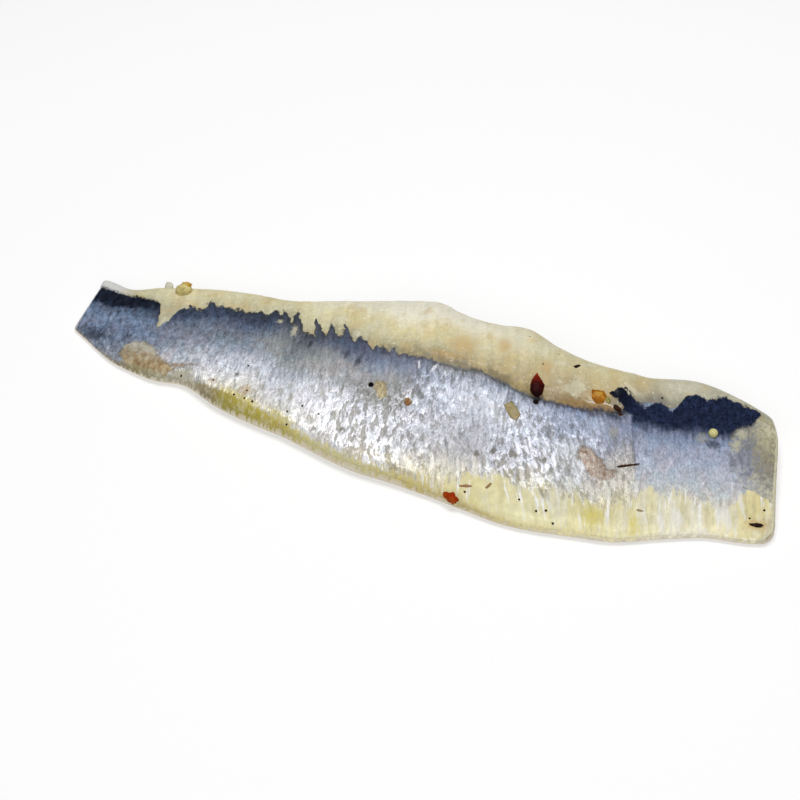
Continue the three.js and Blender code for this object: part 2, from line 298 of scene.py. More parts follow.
# Where the skin lies over itself in a seam, and where it is rubbed grey, as (place across, along).
seam_at = smooth_curve([
    (-35, 65.6), (-20, 63.8), (-15.4, 62.9), (-11, 61.8), (-7, 60.4), (-1.3, 58.4), (3.7, 56.9), (7, 55.7),
    (10, 54.4), (20, 51),
])
rubbed_from = smooth_curve([
    (-24, 95), (-15.5, 94.1), (-9.5, 93), (-8.3, 89), (-6.8, 85.6), (-5.2, 83.8), (-1, 82.4), (4.9, 80.9),
    (8.6, 80.4), (13, 82.8), (16, 84.4), (22, 86),
])

print("at the middle the skin reaches up to", round(float(skin_top(0)), 1), "mm and is yellow below",
      round(float(yellow_top(0)), 1), "mm")

# %% [markdown]
# Stains and clouds have no line to follow. Each is a soft oval, and ovals of one colour share a
# field, which is 1 in the middle of an oval and falls to 0 at its rim.

# %% Stains
# Each oval is (along, across, half length, half width, turn in degrees).
STAINS = {
    "golden": [(-37.5, -17.6, 4.5, 1.6, -18), (-32, -19.6, 4, 1.4, -18), (-22, -22.4, 5, 1.4, -20),
               (57, -28.6, 2.4, 2.8, 20), (66.2, -27, 1.5, 3.4, 25)],
    "rust": [(10.5, 5.8, 5, 1.6, 0), (13, 10, 3.6, 4.2, 40), (22.2, 13.4, 1.8, 2.6, 20),
             (34, 9, 1.4, 3.4, 25), (47.8, 4.8, 3.2, 1.4, 10), (-43.3, -14.8, 1.5, 1.4, 0),
             (-33.6, -16, 1.8, 1.8, 0), (92.6, -17.2, 3.4, 1.8, 10)],
    "tan": [(-55, -11.6, 5, 0.9, 16), (-47.4, -16.6, 5, 1.4, -20)],
    "cloud": [(-30.2, -13.7, 0.8, 1.5, 20), (-25.4, -14.3, 1, 1.9, 10), (-22.1, -16.3, 0.8, 1.5, 0),
              (-15, -13.3, 0.9, 1.7, 30), (-33.1, -10.3, 0.8, 1.3, 0), (-23.8, -12.2, 0.8, 1.6, 10),
              (-14.9, -21, 1.7, 1.3, 0), (-3.8, -20.7, 1.1, 2.1, 20), (-1.5, -23.2, 1.1, 2.3, 20),
              (-9.5, -18.2, 0.9, 2.4, 20), (74, 3.6, 1.5, 1.8, 0), (54.4, -3.4, 1.2, 2.4, 10)],
    "haze": [(-20, -0.5, 8, 3.4, 0), (0.5, -5.5, 4.5, 4.6, 30), (-2, -11.5, 3, 3.2, 0),
             (-32, 2, 5, 4, 0), (48, -14, 7, 4.5, -35)],
    # The dark oval at 76.9 mm and the cloud oval at 74 mm are the mustard seed's painted shadow; the other
    # ovals are stains.
    "dark": [(-80.3, -4.6, 4.6, 2.2, 0), (-13.9, 0.7, 0.7, 1.6, 0),
             (52.6, 2.2, 2.4, 1.5, -30), (-10.5, -1, 0.8, 1.6, 0), (-24.2, 2.5, 0.5, 2, 0),
             (76.9, 2.6, 1.9, 1.3, 0)],
    "spot": [(26.2, -19.7, 0.8, 0.8, 0), (34.2, -16.9, 1, 1.4, 20), (29.6, -17.6, 0.7, 1.1, 0),
             (41.6, -16.8, 0.6, 0.8, 0), (-6.5, -22.4, 0.5, 0.7, 0), (-38, -11.5, 0.6, 0.8, 0)],
    "pale": [(-35, 9.2, 0.9, 0.7, 0), (-30.1, 6.5, 0.8, 2.1, 14), (-52, -13.4, 4, 1.7, 5),
             (82.6, 8, 1.5, 2, 20), (82, 4, 1.2, 2.2, 10)],
    "drip": [(71.5, -24.2, 3.6, 1.1, -64), (74.9, -21.8, 4, 1.4, -64), (84.8, -17.6, 5.4, 2, -64),
             (87.5, -12.7, 4.6, 0.7, -64), (81.4, -22.9, 1.6, 1, -64), (47.5, -25.3, 4.4, 0.6, -66),
             (49.4, -21.5, 5, 0.6, -66), (54.3, -22, 4.4, 0.9, -66), (45.9, -27.3, 3.2, 0.5, -66),
             (38, -22.1, 4.4, 0.8, -66), (40.4, -21.4, 4, 0.7, -66), (23.6, -25.6, 4, 0.9, -68),
             (17, -24.8, 3.6, 0.7, -68), (26.7, -23.1, 3.6, 0.8, -66), (58, -20.7, 4.4, 0.7, -66),
             (67.9, -24, 3.4, 0.5, -64), (25, -5, 3.2, 0.7, -70), (8.2, 1.6, 2, 0.5, 75),
             (4.6, 1.2, 1.9, 0.4, -70), (11.4, 0.6, 1.5, 0.35, -68)],
}

# Thin scraps of onion and skin cling flat to the fish. Each is an outline.
PATCHES = {
    "scab": [(47.9, -11.9), (48.7, -9.1), (51.2, -9.8), (53.7, -11.7), (55.7, -14.1), (58.6, -13.9),
             (58.5, -15.9), (55.5, -18.1), (52.8, -17.2), (49.7, -14.6)],
    "scrap": [(-70.8, -9.9), (-70.3, -7.3), (-68.6, -5.6), (-65.3, -5), (-62.5, -6.6), (-59.6, -9.4),
              (-57, -11.2), (-54.4, -12.6), (-55.6, -15), (-61.7, -15), (-66, -13.8), (-68.8, -12.4)],
    "shred": [(-4.4, -7.4), (-3.6, -5.5), (-1.3, -6.1), (0, -8.4), (-0.3, -11), (-1.4, -11.2), (-2.6, -9.6)],
}


def oval_field(x, y, ovals):
    """How far inside the nearest oval a spot is: 1 in its middle, 0 at its rim, then below 0."""
    nearest = np.full_like(x, -1.0)
    for middle_x, middle_y, half_long, half_wide, turn in ovals:
        turned = math.radians(turn)
        right, up = x - middle_x, y - middle_y
        u = (right * math.cos(turned) + up * math.sin(turned)) / half_long
        v = (up * math.cos(turned) - right * math.sin(turned)) / half_wide
        nearest = np.maximum(nearest, 1 - np.sqrt(u * u + v * v))
    return nearest


def patch_field(x, y, corners):
    """How many millimetres inside an outline a spot is, and below 0 outside it."""
    nearest = np.full_like(x, np.inf)
    inside = np.zeros(x.shape, bool)
    for (x0, y0), (x1, y1) in zip(corners, corners[1:] + corners[:1]):
        share = ((x - x0) * (x1 - x0) + (y - y0) * (y1 - y0)) / ((x1 - x0) ** 2 + (y1 - y0) ** 2)
        share = np.clip(share, 0, 1)
        nearest = np.minimum(nearest, np.hypot(x - lerp(x0, x1, share), y - lerp(y0, y1, share)))
        if y0 != y1:
            crossed = (y0 > y) != (y1 > y)
            inside ^= crossed & (x < x0 + (x1 - x0) * (y - y0) / (y1 - y0))
    return np.where(inside, nearest, -nearest)


print(sum(len(ovals) for ovals in STAINS.values()), "stains in", len(STAINS), "colours, and",
      len(PATCHES), "scraps that cling flat")

# %% [markdown]
# The last helpers add the teeth and the grain, and then all fields are worked out together.

# %% Fields of the pattern
def toothed(x, y):
    """How far the skin reaches past its smooth border at a spot, in teeth that lean to the tail."""
    uneven = 0.35 * hills(x / 1.4, y / 1.4, 5)
    leaned = x + TOOTH_LEAN * (y - skin_top(x)) + uneven
    reach = 0.3 * hills(x / 1.1, np.zeros_like(x), 6)
    for place, tall, wide, power in SKIN_TEETH:
        share = np.clip(1 - np.abs(leaned - place) * 2 / wide, 0, 1)
        reach = np.maximum(reach, tall * quarter_round(share, power))
    for place, tall, wide, power in SKIN_TEARS:
        share = np.clip(1 - np.abs(x + uneven - place) * 2 / wide, 0, 1)
        reach = np.where(share > 0, tall * quarter_round(share, power), reach)
    return reach


# How far the grain of the skin leans towards the tail for each millimetre up towards the back.
grain_lean = smooth_curve([
    (-89, 0.2), (-50, 0.25), (-30, 0.25), (-10, 0.22), (6, 0.27), (16, 0.33), (28, 0.3), (44, 0.43),
    (56, 0.42), (70, 0.27), (97, 0.26),
])
GRAIN_SQUARE = 0.3      # the second coordinate leans by this, to stand square to the grain
HEAD_SLOPE, HEAD_STARTS = 0.25, 62      # how the bands of colour past the seam run
BONE_LINE = 0.56      # where the brown line of the underside runs, as a share of the width


def grain_of(x, y):
    """The grain of the skin: lines of one value run across the fish, leaning as its muscles do."""
    return x + y * grain_lean(x)


def skin_fields(x, y, across, under):
    """The fields that the material reads, in millimetres unless they are shares."""
    width = back_edge(x) - belly_edge(x)
    from_belly = across * width
    tail, head = cut_ends(across)
    below = skin_top(x) - y
    past_seam = x - seam_at(y)
    to_yellow = yellow_top(x) - y
    silver = ease(below - silver_depth(x), -5, 3) * contrast_at(x) * lerp(1, 0.4, ease(to_yellow, -2, 2.5))
    fields = {
        "bare": y - skin_top(x) - toothed(x, y),
        "below": below,
        "band": y - band_foot(x),
        "navy_top": navy_top(x) - y,
        "navy_foot": y - navy_foot(x),
        "head_depth": HEAD_SLOPE * (x - HEAD_STARTS) - y,
        "yellow": to_yellow,
        "flank": flank_shows(x) - from_belly,
        "silver": silver * lerp(1, 0.5, ease(past_seam, -1, 2)),
        "gaps": gaps_at(x) + 0.25 * ease(to_yellow, -7, -1),
        "mottle": mottle_at(x),
        "strokes": ease(x, -46, -26) * (1 - 0.7 * ease(x, 46, 62)),
        "seam": past_seam,
        "rubbed": x - rubbed_from(y),
        "to_cut": np.minimum(x - tail, head - x),
        "from_belly": from_belly,
        "fish_x": x,
        "fish_y": y,
        "from_line": y - lerp(belly_edge(x), back_edge(x), BONE_LINE),
        "inside": np.where(under, 1.0, 0.0),
    }
    for name, ovals in STAINS.items():
        fields[name] = oval_field(x, y, ovals)
    for name, corners in PATCHES.items():
        fields[name] = patch_field(x, y, corners)
    return fields


# %% [markdown]
# ## One sheet, wrapped round
# The skin, the flesh and the underside are one closed surface. A grid with UVs is the natural
# start: its columns run along the fish and its rows go over the top and back under, so the sheet
# only has to be wrapped, welded along the belly edge and closed at the two cuts.

# %% Wrap the sheet
COLUMNS, OVER_ROWS, UNDER_ROWS = 410, 172, 60
MARKS = ("share_across", "is_under")      # what each vertex remembers of its place in the sheet
CROWDING = 0.55      # how much the rows crowd towards the edges, where the form turns fastest
# Heights of the fine relief, in millimetres.
WRINKLES, PLEATS, OVERLAP = 0.1, 0.16, 0.3
RIBS, SOFT_LUMPS, FLESH_STANDS = 0.07, 0.1, 0.16
STAIN_HEIGHTS = {"cloud": -0.08, "pale": 0.1, "drip": 0.14}
SCRAP_HEIGHTS = {"scab": 0.35, "scrap": 0.3, "shred": 0.3}
RIB_SPACING = 4.6


def fine_relief(x, y, across, under):
    """The fine relief of the top face: foil-like wrinkles in the skin, soft ribs in the flesh."""
    width = back_edge(x) - belly_edge(x)
    clear = ease(across * width, 0.5, 3) * ease((1 - across) * width, 1, 5)
    fields = skin_fields(x, y, across, under)
    bare = ease(fields["bare"], -0.25, 0.25) * (1 - ease(x, 55, 61))
    u = grain_of(x, y)
    foil = hills(u / 1.4, y / 3.4, 1) + 0.5 * hills(u / 0.8, y / 1.7, 2)
    skin = WRINKLES * foil * (0.3 + fields["silver"])
    pleats = PLEATS * hills(u / 2.6, y / 16, 8) * ease(fields["yellow"], -3, 3)
    overlap = OVERLAP * (1 - ease(fields["seam"], -0.4, 0.4)) * ease(fields["seam"], -9, -1)
    overlap = overlap * ease(y, -16, -8) * (1 - ease(y, -7, 5))
    flesh = RIBS * np.sin(u * 2 * math.pi / RIB_SPACING + hills(x / 9, y / 9, 3))
    flesh = flesh + SOFT_LUMPS * hills(x / 3, y / 4, 4)
    relief = lerp(skin + pleats + overlap, flesh + FLESH_STANDS, bare)
    for name, height in STAIN_HEIGHTS.items():
        relief = relief + height * ease(fields[name], -0.1, 0.5)
    crumpled = 1 + 0.35 * hills(x / 1.5, y / 1.5, 9) + 0.15 * hills(x / 0.8, y / 0.8, 10)
    for name, height in SCRAP_HEIGHTS.items():
        relief = relief + height * ease(fields[name], -0.2, 0.7) * crumpled
    return clear * relief * np.where(under, 0, 1)


def wrap_fillet():
    """A grid over the top and back under, welded at the belly edge and closed at both cuts."""
    sheet = bmesh.new()
    sheet.loops.layers.uv.new("UVMap")
    rows = OVER_ROWS + UNDER_ROWS
    bmesh.ops.create_grid(sheet, x_segments=COLUMNS, y_segments=rows, size=0.5, calc_uvs=True)
    flat = np.array([vert.co[:] for vert in sheet.verts])
    along = flat[:, 0] + 0.5
    row = np.rint((flat[:, 1] + 0.5) * rows)
    under = row > OVER_ROWS
    share = np.where(under, (rows - row) / UNDER_ROWS, row / OVER_ROWS)
    across = lerp(share, (1 - np.cos(math.pi * share)) / 2, CROWDING)
    points = fillet_points(along, across, under)
    points[:, 2] += fine_relief(points[:, 0], points[:, 1], across, under)
    marks = {name: sheet.verts.layers.float.new(name) for name in MARKS}
    for vert, point, share_across, is_under in zip(sheet.verts, points, across, under):
        vert.co = point
        vert[marks["share_across"]] = share_across
        vert[marks["is_under"]] = float(is_under)
    seam = [vert for vert, number in zip(sheet.verts, row) if number in (0, rows)]
    bmesh.ops.remove_doubles(sheet, verts=seam, dist=1e-4)
    ends = [edge for edge in sheet.edges if edge.is_boundary]
    caps = bmesh.ops.holes_fill(sheet, edges=ends, sides=0)["faces"]
    bmesh.ops.triangulate(sheet, faces=caps)
    bmesh.ops.recalc_face_normals(sheet, faces=sheet.faces)
    return sheet


fillet_sheet = wrap_fillet()
print("the sheet has", len(fillet_sheet.faces), "faces and",
      sum(edge.is_boundary for edge in fillet_sheet.edges), "open edges")

# %% [markdown]
# ## Into the frame
# The measured lines were drawn about their own middle. The frame's origin is under the middle of
# the solid's box, so everything made from the lines is moved by the same amount, once, in its
# mesh. The object itself stays at the origin, unturned, as the solids do.

# %% Place pieces in the frame
fillet_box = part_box("fillet")
sheet_points = np.array([vert.co[:] for vert in fillet_sheet.verts])
lines_middle = (sheet_points.min(axis=0) + sheet_points.max(axis=0)) / 2
frame_middle = np.array([(a + b) / 2 / MM for a, b in zip(*fillet_box)])
MOVE = Vector((frame_middle[0] - lines_middle[0], frame_middle[1] - lines_middle[1], 0))
to_frame = Matrix.Scale(MM, 4) @ Matrix.Translation(MOVE)
print("the lines move by", [round(c, 2) for c in MOVE], "mm")


def add_object(name, data):
    made = bpy.data.objects.new(name, data)
    bpy.context.scene.collection.objects.link(made)
    return made


def add_piece(shape, name, material):
    """Turns a bmesh in millimetres into a finished piece that stands for the fillet's solid."""
    shape.transform(to_frame)
    mesh = bpy.data.meshes.new(name)
    shape.to_mesh(mesh)
    shape.free()
    mesh.materials.append(material)
    mesh.shade_smooth()
    piece = add_object(name, mesh)
    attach(piece, "root")
    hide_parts("fillet")
    print(name, "has", sum(len(face.vertices) - 2 for face in mesh.polygons), "triangles")
    return piece


# %% [markdown]
# ## A short way to write materials
# Node trees are easier to follow when each node is one line of code. These helpers add a node,
# join what feeds it, and give back its output. What feeds a node can be a number, a web colour,
# another node's output, or a name, which stands for a noise or for a field on the mesh.

# %% Node helpers
def tint(code):
    """A colour from a web code, made linear as shaders want it."""
    channels = [int(code[i:i + 2], 16) / 255 for i in (1, 3, 5)]
    return (*[c / 12.92 if c <= 0.04045 else ((c + 0.055) / 1.055) ** 2.4 for c in channels], 1.0)


class Finish:
    """A material and the few kinds of node that this lesson needs."""

    def __init__(self, name):
        self.material = bpy.data.materials.new(name)
        self.material.use_nodes = True
        self.tree = self.material.node_tree
        self.shader = self.tree.nodes["Principled BSDF"]
        self.named = {}

    def read(self, name):
        """The noise of this name, or else the field of this name on the mesh."""
        if name not in self.named:
            self.named[name] = self.node("ShaderNodeAttribute", {}, attribute_name=name).outputs["Fac"]
        return self.named[name]

    def feed(self, socket, value):
        if isinstance(value, str):
            value = tint(value) if value.startswith("#") else self.read(value)
        if isinstance(value, bpy.types.NodeSocket):
            self.tree.links.new(value, socket)
        else:
            socket.default_value = value

    def node(self, kind, inputs, **settings):
        made = self.tree.nodes.new(kind)
        for key, value in settings.items():
            setattr(made, key, value)
        for key, value in inputs.items():
            self.feed(made.inputs[key], value)
        return made

    def surface(self, values):
        """Sets or feeds the shader's own sockets."""
        for key, value in values.items():
            self.feed(self.shader.inputs[key], value)

    def grain(self, across_grain, with_grain, move):
        """Places on the surface in millimetres, counted across and along the grain of the skin."""
        spot = self.node("ShaderNodeAttribute", {}, attribute_name="grain").outputs["Vector"]
        inputs = {"Vector": spot, "Scale": (across_grain, with_grain, with_grain), "Location": [move] * 3}
        return self.node("ShaderNodeMapping", inputs).outputs["Vector"]

    def spot(self):
        """Places in space in millimetres."""
        spot = self.node("ShaderNodeTexCoord", {}).outputs["Object"]
        return self.node("ShaderNodeMapping", {"Vector": spot, "Scale": [1 / MM] * 3}).outputs["Vector"]

    def noise(self, where, detail, rough, bend=0.0):
        inputs = {"Vector": where, "Scale": 1.0, "Detail": detail, "Roughness": rough, "Distortion": bend}
        return self.node("ShaderNodeTexNoise", inputs).outputs["Fac"]

    def math(self, operation, a, b=0.0, c=0.0):
        return self.node("ShaderNodeMath", {0: a, 1: b, 2: c}, operation=operation).outputs["Value"]

    def chain(self, operation, first, *others):
        for other in others:
            first = self.math(operation, first, other)
        return first

    def times(self, *factors):
        return self.chain("MULTIPLY", *factors)

    def largest(self, *values):
        return self.chain("MAXIMUM", *values)

    def jitter(self, value, *moves):
        """Moves a value up and down by noises, each followed by how far it moves the value in all."""
        for noise, amount in zip(moves[::2], moves[1::2]):
            value = self.math("MULTIPLY_ADD", noise, amount, self.math("ADD", value, -amount / 2))
        return value

    def fit(self, value, low, high, to_low=0.0, to_high=1.0):
        """Goes smoothly from to_low to to_high as a value goes from low to high."""
        inputs = {"Value": value, "From Min": low, "From Max": high, "To Min": to_low, "To Max": to_high}
        return self.node("ShaderNodeMapRange", inputs, interpolation_type="SMOOTHSTEP").outputs["Result"]

    def mix(self, share, below, above):
        made = self.node("ShaderNodeMix", {}, data_type="RGBA")
        for socket, value in zip((made.inputs[0], made.inputs[6], made.inputs[7]), (share, below, above)):
            self.feed(socket, value)
        return made.outputs[2]

    def wash(self, colour, tone, value, low, high, share=1.0):
        """Lays a tone over a colour, up to a share of it, as a value goes from low to high."""
        return self.mix(self.fit(value, low, high, 0, share), colour, tone)

    def vector_math(self, operation, inputs):
        return self.node("ShaderNodeVectorMath", inputs, operation=operation).outputs["Vector"]

    def shade(self, colour, factor):
        """Makes a colour lighter or darker by a factor."""
        return self.vector_math("SCALE", {0: colour, "Scale": factor})

    def multiply(self, colour, other):
        return self.vector_math("MULTIPLY", {0: colour, 1: other})

    def vary(self, colour, value, darkest, lightest, low=0.3, high=0.7):
        """Shades a colour by a noise, from darkest where it is low to lightest where it is high."""
        return self.shade(colour, self.fit(value, low, high, darkest, lightest))

    def ramp(self, value, stops):
        """A colour for a value, from a colour at each stop."""
        places = list(stops)
        low, high = places[0], places[-1]
        share = self.node("ShaderNodeMapRange", {"Value": value, "From Min": low, "From Max": high})
        made = self.node("ShaderNodeValToRGB", {"Fac": share.outputs["Result"]})
        elements = made.color_ramp.elements
        for place in places[1:-1]:
            elements.new((place - low) / (high - low))
        for element, place in zip(elements, places):
            element.position = (place - low) / (high - low)
            element.color = tint(stops[place])
        return made.outputs["Color"]

    def bump(self, height, millimetres, below=None):
        inputs = {"Height": height, "Distance": millimetres * MM, "Strength": 1.0}
        if below is not None:
            inputs["Normal"] = below
        return self.node("ShaderNodeBump", inputs).outputs["Normal"]


# %% [markdown]
# ## Skin, flesh and oil in one finish
# Wet fish skin is a stack: pigment, a mirror-like silver layer in wrinkled foil, and oil on top.
# One Principled shader can hold all of it. The base colour follows the fields, the silver zone is
# partly metallic, and the coat is the film of oil, which is the same all over.

# %% Noises along the grain
# Each is (how fine across the grain, how fine along it, a shift that makes it differ from the
# others, levels of detail, their roughness, and for one a bend). Fineness is hills per millimetre.
NOISES = {
    "rag": (1.3, 0.85, 0, 5, 0.66),
    "torn": (0.7, 0.55, 53, 3, 0.58),
    "hue": (0.36, 0.26, 61, 3, 0.6),
    "streak": (1.05, 0.26, 0, 4, 0.62),
    "blot": (0.7, 0.42, 37, 5, 0.66),
    "fine": (2.1, 1.05, 3, 3, 0.68),
    "pores": (1.5, 1.2, 41, 1, 0.5),
    "fibre": (0.5, 1.6, 17, 3, 0.6),
    "drift": (0.16, 0.12, 0, 2, 0.5),
    "patch": (0.86, 0.29, 7, 4, 0.6, 0.5),
    "spikes": (0.5, 0.035, 11, 3, 0.6),
    "pleats": (0.45, 0.06, 23, 4, 0.6),
    "threads": (0.9, 0.07, 29, 3, 0.6),
    "warmth": (0.24, 0.2, 31, 3, 0.5),
    "layers": (0.62, 0.05, 71, 2, 0.5),
    "muscle": (0.25, 0.6, 83, 3, 0.6),
}

# %% Colours of the skin
# Stops are in millimetres: below the skin's upper border for skin, above it for flesh, and along the
# fish for the belly and the flank. Each zone of skin blends in between two places along the fish.
TAIL_STOPS = {
    0: "#1E242E", 2: "#2A3242", 3.5: "#3F4A5E", 6: "#5F6C82", 8.5: "#73829A", 12: "#707C93", 15: "#737D8F",
    20: "#8C929E", 30: "#9A9DA4",
}
# In the zones from 12 mm on, the darkest first stops, just under the border, are a painted shadow under the
# step of the flesh.
SKIN_ZONES = {
    (-70, -58): {
        0: "#3E4759", 2.5: "#465065", 4: "#5C667A", 6: "#727A89", 8.5: "#7A808E", 11.5: "#848A99",
        14.5: "#959CA9", 18: "#B6B9C1", 24: "#C2C1C0", 30: "#C4C2BC",
    },
    (-54, -44): {
        0: "#363D4A", 2.5: "#3D4656", 4: "#495366", 6: "#616B7E", 8.5: "#747C89", 11.5: "#848C98",
        14.5: "#9FA5B2", 18: "#C8CCD6", 22: "#E2E3E8", 26: "#E8E6DC", 33: "#CFC8B4",
    },
    (-38, -30): {
        0: "#4B505A", 3: "#5E6672", 6: "#6D7581", 8.5: "#8B9094", 11.5: "#9DA1A3", 14.5: "#B8BDC6",
        18: "#D2D5DC", 22: "#DADADB", 26: "#D6D2C4", 33: "#CCC4A4",
    },
    (-26, -16): {
        0: "#505768", 3: "#5B6479", 4.5: "#6B7286", 6: "#868A96", 8.5: "#A2A3A6", 11.5: "#AEAEB0",
        14.5: "#C4C6CA", 18: "#E0E0E4", 22: "#EAEAEE", 26: "#E6E5E2", 33: "#E2E0DC",
    },
    (-12, -2): {
        0: "#6A6F80", 2.5: "#7B8194", 4: "#858C9E", 6: "#9499A6", 8.5: "#A7A9B0", 13: "#B0B0B0",
        16: "#BEBEC0", 20: "#D6D6DA", 24: "#E2E2E6", 33: "#E8E7E6",
    },
    (2, 12): {
        0: "#807F7C", 2: "#999CA3", 4: "#ACB1BD", 6: "#B9BEC9", 9: "#BDC1CB", 13: "#BCBEC6", 20: "#C8C9CE",
        26: "#C2C1C2", 30: "#C0BCB0", 36: "#C8C2A0",
    },
    (12, 24): {
        0: "#66686C", 0.9: "#7E8087", 2.2: "#A3A8B6", 4: "#BDC3CF", 6: "#CACED8", 9: "#D0D3DB",
        12: "#C5C8D1", 18: "#BEBFC6", 23: "#B6B6B9", 26: "#B9B7B2", 30: "#BEB9A8", 36: "#CCC5A4",
    },
    (30, 44): {
        0: "#54545E", 0.9: "#6C7082", 1.8: "#8690A8", 3.4: "#A3ACC0", 6: "#AAB2C4", 9: "#B0B6C6",
        12: "#C3C6CF", 16: "#C2C3CA", 22: "#C8C9CA", 26: "#CECCBE", 36: "#DCD5B0",
    },
    (50, 56): {
        0: "#4A4C54", 1.6: "#5E6472", 3.2: "#7A8298", 5.5: "#868CA2", 9: "#8E94AA", 12: "#9A9EAE",
        16: "#A6A6AA", 22: "#B4AEA6", 27: "#CBC8BE", 36: "#DAD0A6",
    },
}
PAST_SEAM = {
    -10: "#8D97AB", -7: "#5A647A", -4: "#404860", -2: "#586279", 0: "#808AA3", 3: "#99A2B7", 7: "#A8AEBF",
    11: "#B3B8C5", 15.5: "#C0C2C6", 20: "#CCCBC2",
}
RUBBED = {
    -14: "#CFCCBE", -8: "#B8B7B3", -4: "#A0A2AB", 0: "#878A96", 4: "#82858F", 8: "#898982", 12: "#9C9A90",
}
RUBBED_RIM = {
    -14: "#CFC8AA", -10: "#BFBAA3", -6: "#ABAA9E", -3: "#98958A", 0: "#8B877B", 4: "#96907B", 8: "#ADA78B",
    14: "#C2BDA2",
}
YELLOW = {
    0: "#D2C48C", 18: "#D3C894", 30: "#D9D09C", 42: "#DCD6AE", 56: "#DAD2A0", 66: "#DED6AC", 78: "#DFDAC0",
    85: "#E0D7AC", 91: "#DBD09C", 97: "#DED5A8",
}
# The flank is darker towards the tail and near 27 mm as painted shadow of the fish it lay on, and paler from
# 44 mm on as painted light thrown up from the board.
FLANK = {
    -89: "#8A8B8C", -72: "#948C78", -64: "#988C68", -57: "#A9A68F", -48: "#A0967A", -43: "#928566",
    -39: "#A29650", -31: "#AEA24A", -22: "#BBAD5C", -13: "#CFC68E", -3: "#D1C99A", 7: "#CCC084",
    17: "#CAB978", 27: "#C2B27A", 35: "#D4C68C", 44: "#E6DBA8", 57: "#F4E8B2", 66: "#F2EAC4", 76: "#F9F4E0",
    85: "#F2EDD6", 97: "#ECE4BC",
}
# FLESH, RIGHT_FLESH and HEAD_FLESH darken towards their foot by the skin, partly as painted shade at the foot
# of the ridge.
FLESH = {
    0: "#928B75", 1: "#9F987C", 2.5: "#B5AE8D", 5: "#CBC29E", 8: "#D7CDA2", 12: "#E7E1CA", 18: "#E4E0CF",
}
RIGHT_FLESH = {0: "#94835E", 2: "#AA9A7B", 4: "#B5A786", 7: "#BEB18D", 10: "#C7BD96", 14: "#D0C8A2"}
HEAD_FLESH = {0: "#949383", 2: "#AAA794", 4: "#B7B39D", 7: "#C3BFAB"}

print(len(SKIN_ZONES) + 1, "zones of skin colour, made uneven by", len(NOISES), "noises")


def past_seam(fish):
    return fish.jitter("seam", "rag", 2.0)


def skin_colour(fish):
    """From the dark back down to the bright side, zone by zone from the tail to the head."""
    deep = fish.jitter("below", "streak", 5.0, "rag", 4.0)
    skin = fish.ramp(deep, TAIL_STOPS)
    for (start, end), stops in SKIN_ZONES.items():
        skin = fish.wash(skin, fish.ramp(deep, stops), "fish_x", start, end)
    # Near the tail the top of the skin turns dark navy, deepened as a painted shadow under the tail's raised
    # lip.
    band = fish.fit(fish.jitter("band", "torn", 5.0), -1.0, 0.8)
    skin = fish.mix(fish.times(band, fish.fit("fish_x", -62, -64)), skin, "#1C222F")
    head = fish.ramp(fish.jitter("head_depth", "streak", 7.0), PAST_SEAM)
    return fish.wash(skin, head, past_seam(fish), -0.3, 0.5)


# %% Foil
# What the silver layer does to the colour below it, as factors of red, green and blue.
NO_CHANGE = (1, 1, 1, 1)
FOIL = (1.09, 1.1, 1.14, 1)
GREY_GAP, YELLOW_GAP = (0.6, 0.59, 0.56, 1), (0.76, 0.7, 0.54, 1)
COOL, WARM = (0.94, 1.01, 1.04, 1), (1.05, 0.98, 0.96, 1)


def foil_texture(fish, skin):
    """Bright patches of foil on the side with duller gaps between, and mottled pigment above."""
    patch = fish.math("MULTIPLY_ADD", "gaps", -0.11, fish.jitter("patch", "fine", 0.1))
    bright = fish.fit(patch, 0.36, 0.42)
    gap = fish.mix(fish.fit("yellow", -9, -2), GREY_GAP, YELLOW_GAP)
    foil = fish.mix("silver", NO_CHANGE, fish.mix(bright, gap, FOIL))
    tinge = fish.mix(fish.fit("hue", 0.36, 0.64), COOL, WARM)
    foil = fish.multiply(foil, fish.mix(fish.fit("silver", 0, 0.5, 1, 0.3), NO_CHANGE, tinge))
    even = fish.math("MULTIPLY_ADD", "mottle", -0.5, 1.0)
    mottled = fish.math("MULTIPLY_ADD", fish.mix("strokes", "blot", "streak"), "mottle", even)
    speckled = fish.times(fish.fit("fine", 0.3, 0.7, 0.79, 1.21), fish.fit("pores", 0.66, 0.74, 1.0, 0.78))
    skin = fish.shade(fish.multiply(skin, foil), fish.times(mottled, speckled))
    return skin, fish.times("silver", bright)


# %% Belly
def belly_colour(fish, skin):
    """The yellow belly, with silver streaks that run down into it, and painted light along its rim."""
    yellow = fish.ramp("fish_x", YELLOW)
    yellow = fish.wash(yellow, "#DAD7C6", "pleats", 0.5, 0.62, 0.6)
    yellow = fish.wash(yellow, "#C6BC90", "pleats", 0.46, 0.36, 0.5)
    by_fringe = fish.fit(fish.math("ABSOLUTE", "yellow"), 8, 2, 0.25, 0.9)
    yellow = fish.mix(fish.times(fish.fit("threads", 0.57, 0.63), by_fringe), yellow, "#F0F0EE")
    yellow = fish.vary(yellow, "blot", 0.9, 1.09)
    # The rim of the belly is painted brighter towards the head, as painted light thrown up from the board.
    rim_light = fish.times(fish.fit("from_belly", 3.4, 1.0), fish.fit("fish_x", 32, 44, 0, 0.16),
                     fish.fit("fish_x", 92, 83))
    yellow = fish.shade(yellow, fish.math("ADD", rim_light, 1.0))
    is_yellow = fish.fit(fish.jitter("yellow", "spikes", 15.0, "rag", 5.0), -0.9, 1.2)
    return fish.mix(is_yellow, skin, yellow), is_yellow


